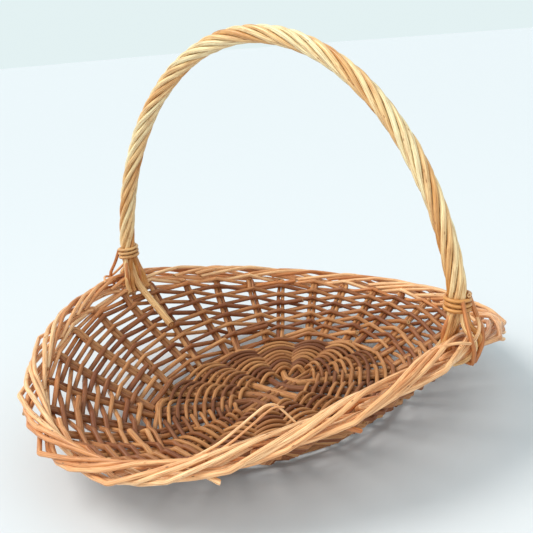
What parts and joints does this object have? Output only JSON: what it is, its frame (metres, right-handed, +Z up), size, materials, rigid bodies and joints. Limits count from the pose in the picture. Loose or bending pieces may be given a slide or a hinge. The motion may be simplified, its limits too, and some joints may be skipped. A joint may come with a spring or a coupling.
{
  "type": "log basket",
  "caption": "Shallow oval willow basket with an openwork woven wall, rolled border that dips at both ends, and a fixed roped hoop handle across the middle.",
  "frame": {"origin": "on the floor, under the middle of the base", "axes": "+X along the basket's length towards one low end, +Y along its width towards one foot of the handle, +Z up"},
  "size_m": [0.616, 0.5356, 0.452],
  "materials": {
    "base_willow": "peeled and boiled buff willow, matt, brown in the shade",
    "stake_willow": "peeled and boiled buff willow rods, satin",
    "wall_willow": "peeled and boiled buff willow rods, satin, tone varies from rod to rod",
    "border_willow": "peeled buff willow, orange-buff, lightly varnished",
    "handle_willow": "peeled white-to-honey willow, satin"
  },
  "bodies": {
    "root": {"base_cross_stick_1": "base_willow", "base_cross_stick_2": "base_willow", "base_cross_stick_3": "base_willow", "base_cross_stick_4": "base_willow", "base_cross_stick_5": "base_willow", "base_long_stick_1": "base_willow", "base_long_stick_2": "base_willow", "base_long_stick_3": "base_willow", "base_pairing_1": "base_willow", "base_pairing_2": "base_willow", "base_pairing_3": "base_willow", "base_pairing_4": "base_willow", "base_pairing_5": "base_willow", "border_back_left": "border_willow", "border_back_right": "border_willow", "border_front_left": "border_willow", "border_front_right": "border_willow", "handle_binding_back": "handle_willow", "handle_binding_front": "handle_willow", "handle_bow": "handle_willow", "handle_strand_1": "handle_willow", "handle_strand_2": "handle_willow", "handle_strand_3": "handle_willow", "handle_strand_4": "handle_willow", "handle_strand_5": "handle_willow", "handle_strand_6": "handle_willow", "handle_strand_7": "handle_willow", "handle_ties_back": "handle_willow", "handle_ties_front": "handle_willow", "side_row_01": "wall_willow", "side_row_02": "wall_willow", "side_row_03": "wall_willow", "side_row_04": "wall_willow", "side_row_05": "wall_willow", "side_row_06": "wall_willow", "side_row_07": "wall_willow", "side_row_08": "wall_willow", "side_row_09": "wall_willow", "side_row_10": "wall_willow", "side_row_11": "wall_willow", "side_row_12": "wall_willow", "stake_pair_01": "stake_willow", "stake_pair_02": "stake_willow", "stake_pair_03": "stake_willow", "stake_pair_04": "stake_willow", "stake_pair_05": "stake_willow", "stake_pair_06": "stake_willow", "stake_pair_07": "stake_willow", "stake_pair_08": "stake_willow", "stake_pair_09": "stake_willow", "stake_pair_10": "stake_willow", "stake_pair_11": "stake_willow", "stake_pair_12": "stake_willow", "stake_pair_13": "stake_willow", "stake_pair_14": "stake_willow", "stake_pair_15": "stake_willow", "stake_pair_16": "stake_willow", "top_wale": "wall_willow", "upsett_wale": "wall_willow"}
  },
  "joints": []
}
